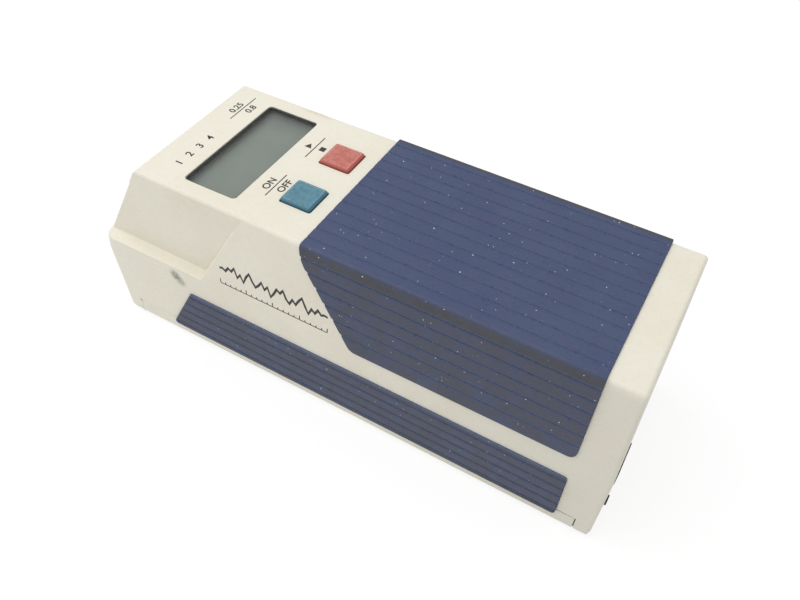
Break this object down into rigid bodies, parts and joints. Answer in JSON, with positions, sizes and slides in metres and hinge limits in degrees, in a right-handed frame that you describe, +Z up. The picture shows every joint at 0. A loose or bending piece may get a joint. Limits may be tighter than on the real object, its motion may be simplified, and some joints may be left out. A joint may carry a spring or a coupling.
{
  "type": "surface roughness tester",
  "caption": "Hand-held surface roughness tester: moulded case with sloping nose, blank display, two keys and ribbed grips, and a motor-driven stylus pickup that reaches through the base.",
  "frame": {"origin": "middle of the footprint, on the surface that the feet stand on", "axes": "+X from the nose to the rear end, +Y to the far side (the side of the red key), +Z up"},
  "size_m": [0.1646, 0.0602, 0.061],
  "materials": {
    "case_plastic": "fine-grained cream moulding",
    "grip_plastic": "satin navy, ribbed",
    "window_clear": "clear window",
    "lcd_glass": "blank grey-green display",
    "blue_key": "satin blue",
    "red_key": "satin red",
    "black_plastic": "black moulding",
    "circuit_board": "green circuit board",
    "screw_steel": "plated steel",
    "battery_sleeve": "shrink sleeve",
    "alloy": "cast and milled",
    "ground_steel": "ground",
    "brass": "machined",
    "diamond": "polished tip",
    "foot_rubber": "matt rubber"
  },
  "bodies": {
    "case": {"upper_case": "case_plastic", "bottom_cover": "case_plastic", "grip_cover": "grip_plastic", "grip_strip_near": "grip_plastic", "grip_strip_far": "grip_plastic", "display_window": "window_clear", "lcd_panel": "lcd_glass", "lcd_holder": "black_plastic", "blue_switch": "black_plastic", "red_switch": "black_plastic", "main_board": "circuit_board", "board_screws": "screw_steel", "battery_pack": "battery_sleeve", "battery_tray": "alloy", "tray_screws": "screw_steel", "rear_board": "circuit_board", "data_socket": "black_plastic", "power_jack": "black_plastic", "drive_frame": "alloy", "frame_screws": "screw_steel", "guide_rods": "ground_steel", "front_bush": "brass", "rear_bush": "brass", "drive_motor": "ground_steel", "gearhead": "ground_steel", "case_screws": "screw_steel", "rubber_feet": "foot_rubber"},
    "blue_key": {"blue_key": "blue_key", "blue_plunger": "black_plastic"},
    "red_key": {"red_key": "red_key", "red_plunger": "black_plastic"},
    "lead_screw": {"lead_screw": "ground_steel", "screw_gear": "brass"},
    "pinion": {"motor_shaft": "ground_steel", "motor_pinion": "brass"},
    "carriage": {"carriage": "alloy", "pickup_body": "ground_steel", "pickup_skid": "ground_steel", "pivot_pin": "ground_steel"},
    "stylus": {"stylus_arm": "alloy", "stylus_tip": "diamond"}
  },
  "joints": [
    {"name": "blue_key_press", "type": "slide", "parent": "case", "child": "blue_key", "axis": [0, 0, -1], "range_m": [0, 0.0008], "stiffness_N_per_m": 1500},
    {"name": "red_key_press", "type": "slide", "parent": "case", "child": "red_key", "axis": [0, 0, -1], "range_m": [0, 0.0008], "stiffness_N_per_m": 1500},
    {"name": "screw_turn", "type": "hinge", "parent": "case", "child": "lead_screw", "pos_m": [0, 0, 0.02], "axis": [1, 0, 0], "range_deg": [-2880.1, 0]},
    {"name": "carriage_slide", "type": "slide", "parent": "case", "child": "carriage", "axis": [1, 0, 0], "range_m": [0, 0.008]},
    {"name": "pinion_turn", "type": "hinge", "parent": "case", "child": "pinion", "pos_m": [0, 0.015, 0.02], "axis": [1, 0, 0], "range_deg": [0, 5760.2]},
    {"name": "stylus_pivot", "type": "hinge", "parent": "carriage", "child": "stylus", "pos_m": [-0.0503, 0, 0.0086], "axis": [0, 1, 0], "range_deg": [0, 2], "stiffness_Nm_per_rad": 0.0005, "springref_deg": -11.46}
  ],
  "couplings": [
    {"joint": "screw_turn", "follows": "carriage_slide", "rad_per_m": -6283.2},
    {"joint": "pinion_turn", "follows": "carriage_slide", "rad_per_m": 12566}
  ]
}
